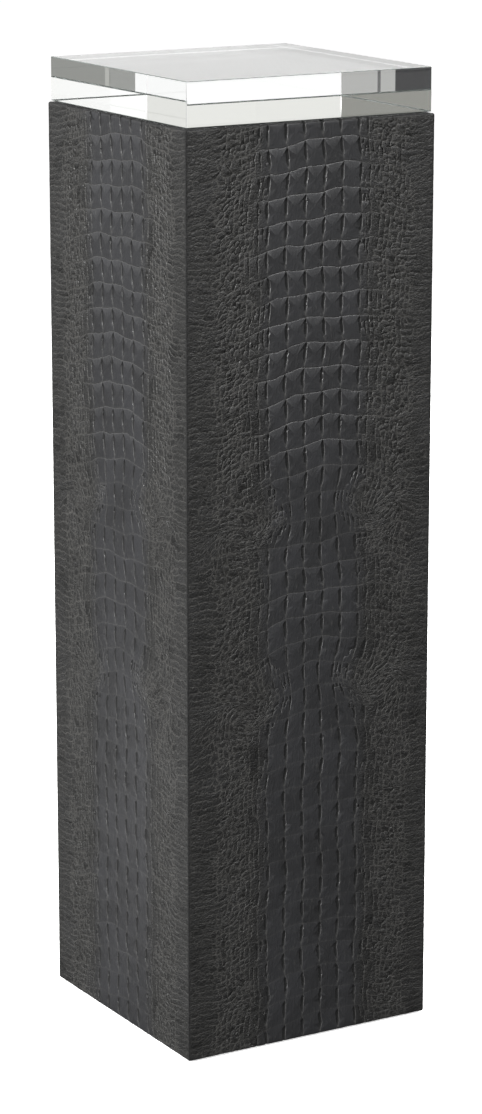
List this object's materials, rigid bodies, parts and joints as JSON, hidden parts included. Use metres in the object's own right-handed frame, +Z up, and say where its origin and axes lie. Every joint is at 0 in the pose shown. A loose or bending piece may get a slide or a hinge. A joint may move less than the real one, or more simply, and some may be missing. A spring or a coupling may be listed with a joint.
{
  "type": "display plinth",
  "caption": "Tall square plinth clad in charcoal crocodile-embossed leather, with a thick loose block of clear acrylic on top and levelling feet hidden in its base.",
  "frame": {"origin": "on the floor under the middle of the column", "axes": "+Z up the column, front face towards -Y, +X to the right of someone facing the front"},
  "size_m": [0.305, 0.305, 1.0672],
  "materials": {
    "leather": "charcoal crocodile embossed, satin",
    "acrylic": "cast acrylic, polished on all faces",
    "bumper": "clear soft plastic dot",
    "fibreboard": "medium density fibreboard, bare",
    "plywood": "birch plywood, bare",
    "pine": "planed pine, bare",
    "zinc": "bright zinc plated steel",
    "nylon": "moulded black nylon",
    "rubber": "matt black rubber"
  },
  "bodies": {
    "column": {"leather_front": "leather", "leather_right": "leather", "leather_rear": "leather", "leather_left": "leather", "leather_top": "leather", "wall_front": "fibreboard", "wall_right": "fibreboard", "wall_rear": "fibreboard", "wall_left": "fibreboard", "top_panel": "fibreboard", "base_panel": "plywood", "batten_front_left": "pine", "batten_front_right": "pine", "batten_rear_right": "pine", "batten_rear_left": "pine", "brace_lower": "plywood", "brace_upper": "plywood", "base_screw_front_left": "zinc", "base_screw_front_right": "zinc", "base_screw_rear_right": "zinc", "base_screw_rear_left": "zinc", "top_screw_front_left": "zinc", "top_screw_front_right": "zinc", "top_screw_rear_right": "zinc", "top_screw_rear_left": "zinc", "tee_nut_front_left": "zinc", "tee_nut_front_right": "zinc", "tee_nut_rear_right": "zinc", "tee_nut_rear_left": "zinc"},
    "block": {"clear_block": "acrylic", "bumper_front_left": "bumper", "bumper_front_right": "bumper", "bumper_rear_right": "bumper", "bumper_rear_left": "bumper"},
    "pad_front_left": {"foot_pad_front_left": "nylon", "foot_sole_front_left": "rubber"},
    "stud_front_left": {"foot_stud_front_left": "zinc"},
    "pad_front_right": {"foot_pad_front_right": "nylon", "foot_sole_front_right": "rubber"},
    "stud_front_right": {"foot_stud_front_right": "zinc"},
    "pad_rear_right": {"foot_pad_rear_right": "nylon", "foot_sole_rear_right": "rubber"},
    "stud_rear_right": {"foot_stud_rear_right": "zinc"},
    "pad_rear_left": {"foot_pad_rear_left": "nylon", "foot_sole_rear_left": "rubber"},
    "stud_rear_left": {"foot_stud_rear_left": "zinc"}
  },
  "joints": [
    {"name": "block_lift", "type": "slide", "parent": "column", "child": "block", "axis": [0, 0, 1], "range_m": [0, 0.25]},
    {"name": "pad_travel_front_left", "type": "slide", "parent": "column", "child": "pad_front_left", "axis": [0, 0, 1], "range_m": [-0.01, 0]},
    {"name": "stud_turn_front_left", "type": "hinge", "parent": "pad_front_left", "child": "stud_front_left", "pos_m": [-0.098, -0.098, 0.005], "axis": [0, 0, 1], "range_deg": [-2880, 0]},
    {"name": "pad_travel_front_right", "type": "slide", "parent": "column", "child": "pad_front_right", "axis": [0, 0, 1], "range_m": [-0.01, 0]},
    {"name": "stud_turn_front_right", "type": "hinge", "parent": "pad_front_right", "child": "stud_front_right", "pos_m": [0.098, -0.098, 0.005], "axis": [0, 0, 1], "range_deg": [-2880, 0]},
    {"name": "pad_travel_rear_right", "type": "slide", "parent": "column", "child": "pad_rear_right", "axis": [0, 0, 1], "range_m": [-0.01, 0]},
    {"name": "stud_turn_rear_right", "type": "hinge", "parent": "pad_rear_right", "child": "stud_rear_right", "pos_m": [0.098, 0.098, 0.005], "axis": [0, 0, 1], "range_deg": [-2880, 0]},
    {"name": "pad_travel_rear_left", "type": "slide", "parent": "column", "child": "pad_rear_left", "axis": [0, 0, 1], "range_m": [-0.01, 0]},
    {"name": "stud_turn_rear_left", "type": "hinge", "parent": "pad_rear_left", "child": "stud_rear_left", "pos_m": [-0.098, 0.098, 0.005], "axis": [0, 0, 1], "range_deg": [-2880, 0]}
  ],
  "couplings": [
    {"joint": "pad_travel_front_left", "follows": "stud_turn_front_left", "m_per_rad": 0.00019894},
    {"joint": "pad_travel_front_right", "follows": "stud_turn_front_right", "m_per_rad": 0.00019894},
    {"joint": "pad_travel_rear_right", "follows": "stud_turn_rear_right", "m_per_rad": 0.00019894},
    {"joint": "pad_travel_rear_left", "follows": "stud_turn_rear_left", "m_per_rad": 0.00019894}
  ]
}
